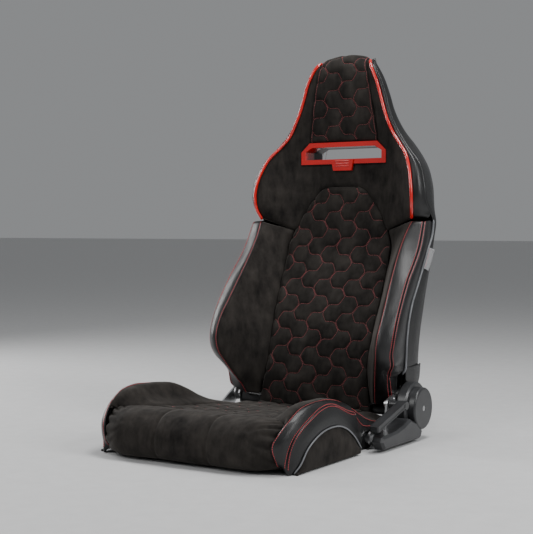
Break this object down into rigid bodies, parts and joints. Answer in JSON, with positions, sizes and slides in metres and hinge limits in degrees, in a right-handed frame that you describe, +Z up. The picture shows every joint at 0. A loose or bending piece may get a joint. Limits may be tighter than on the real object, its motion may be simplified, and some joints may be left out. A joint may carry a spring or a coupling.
{
  "type": "reclining racing seat",
  "caption": "Reclining sport seat with deep side bolsters, quilted panels, a harness slot below the head, red piping and a side lever that frees the backrest.",
  "frame": {"origin": "centre of the four slider bolt holes, on the underside of the base rails", "axes": "+Z up, the seat faces -Y, +X is the occupant's left, where the release lever is"},
  "size_m": [0.552, 0.789, 0.938],
  "materials": {
    "frame_paint": "satin black powder coat",
    "zinc": "bright zinc",
    "spring_steel": "oiled spring steel",
    "suede": "black suede",
    "leather": "black grained leather",
    "grey_piping": "light grey satin piping",
    "red_gloss": "gloss red",
    "black_plastic": "satin black",
    "tag": "woven tag"
  },
  "bodies": {
    "seat_base": {"base_rail_left": "frame_paint", "base_rail_right": "frame_paint", "rail_nuts": "zinc", "front_cross_tube": "frame_paint", "rear_cross_tube": "frame_paint", "seat_springs": "spring_steel", "seat_center_pad": "suede", "seat_front_roll": "suede", "seat_bolster_left": "leather", "seat_bolster_right": "leather", "seat_piping_left": "grey_piping", "seat_piping_right": "grey_piping", "recliner_bracket": "zinc", "hinge_bracket_left": "zinc", "bracket_spacers": "zinc", "bracket_bolts": "zinc", "pivot_bolts": "zinc", "recliner_spring": "spring_steel", "pawl_pin": "zinc", "recliner_cover": "black_plastic", "recliner_cap": "black_plastic", "cap_screw": "zinc"},
    "backrest": {"recliner_arm": "zinc", "hinge_arm_left": "zinc", "arm_spacers": "zinc", "arm_bolts": "zinc", "back_tube_left": "frame_paint", "back_tube_right": "frame_paint", "back_lower_tube": "frame_paint", "shoulder_tube": "frame_paint", "headrest_post_left": "frame_paint", "headrest_post_right": "frame_paint", "headrest_top_tube": "frame_paint", "back_support_wires": "spring_steel", "back_center_pad": "suede", "back_bolster_left": "suede", "back_bolster_right": "suede", "shoulder_pad": "suede", "head_pad": "suede", "harness_bezel": "red_gloss", "harness_sleeve": "black_plastic", "harness_rear_bezel": "black_plastic", "back_shell": "leather", "lower_back_panel": "leather", "red_piping_left": "red_gloss", "red_piping_right": "red_gloss", "back_welt_left": "grey_piping", "back_welt_right": "grey_piping", "side_tag": "tag"},
    "release_lever": {"release_lever": "black_plastic", "lever_shaft": "zinc"},
    "pawl": {"pawl": "zinc"}
  },
  "joints": [
    {"name": "backrest_recline", "type": "hinge", "parent": "seat_base", "child": "backrest", "pos_m": [0, 0.228, 0.074], "axis": [-1, 0, 0], "range_deg": [-38, 60]},
    {"name": "lever_lift", "type": "hinge", "parent": "seat_base", "child": "release_lever", "pos_m": [0.274, 0.146, 0.09], "axis": [-1, 0, 0], "range_deg": [0, 20], "stiffness_Nm_per_rad": 1, "springref_deg": -20.05},
    {"name": "pawl_release", "type": "hinge", "parent": "seat_base", "child": "pawl", "pos_m": [0.2325, 0.17, 0.098], "axis": [-1, 0, 0], "range_deg": [0, 8]}
  ],
  "couplings": [
    {"joint": "pawl_release", "follows": "lever_lift", "ratio": 0.4}
  ]
}
